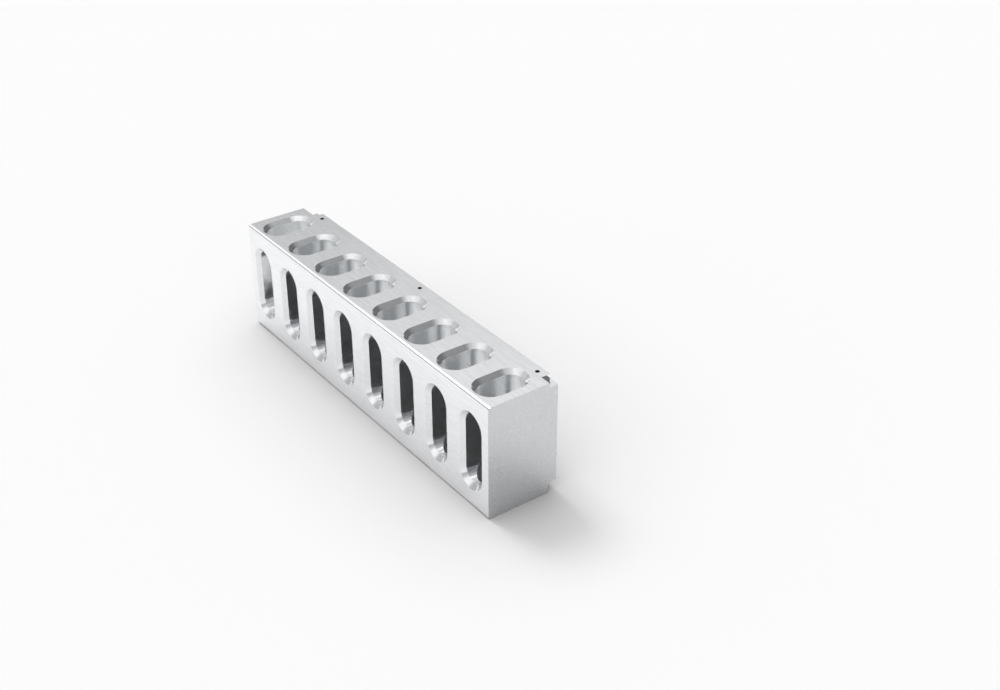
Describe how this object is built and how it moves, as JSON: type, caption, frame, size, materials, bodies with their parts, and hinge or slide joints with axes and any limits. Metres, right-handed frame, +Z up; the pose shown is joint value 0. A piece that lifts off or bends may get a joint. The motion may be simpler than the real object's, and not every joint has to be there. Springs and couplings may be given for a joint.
{
  "type": "pocketed aluminium bar block",
  "caption": "Rectangular machined bar block with rows of bevelled slots in its front and top that meet as open pockets, a slot in one end and a raised joint pad on the back.",
  "frame": {"origin": "centre of the block's bounding box, on the underside that it stands on", "axes": "+X along the block towards its plain end, +Y from the slotted front face towards the joint pad, +Z up towards the top face with the second row of slots"},
  "size_m": [0.2, 0.0356, 0.0555],
  "materials": {
    "machined_aluminium": "satin"
  },
  "bodies": {
    "root": {"bar_block": "machined_aluminium"}
  },
  "joints": []
}
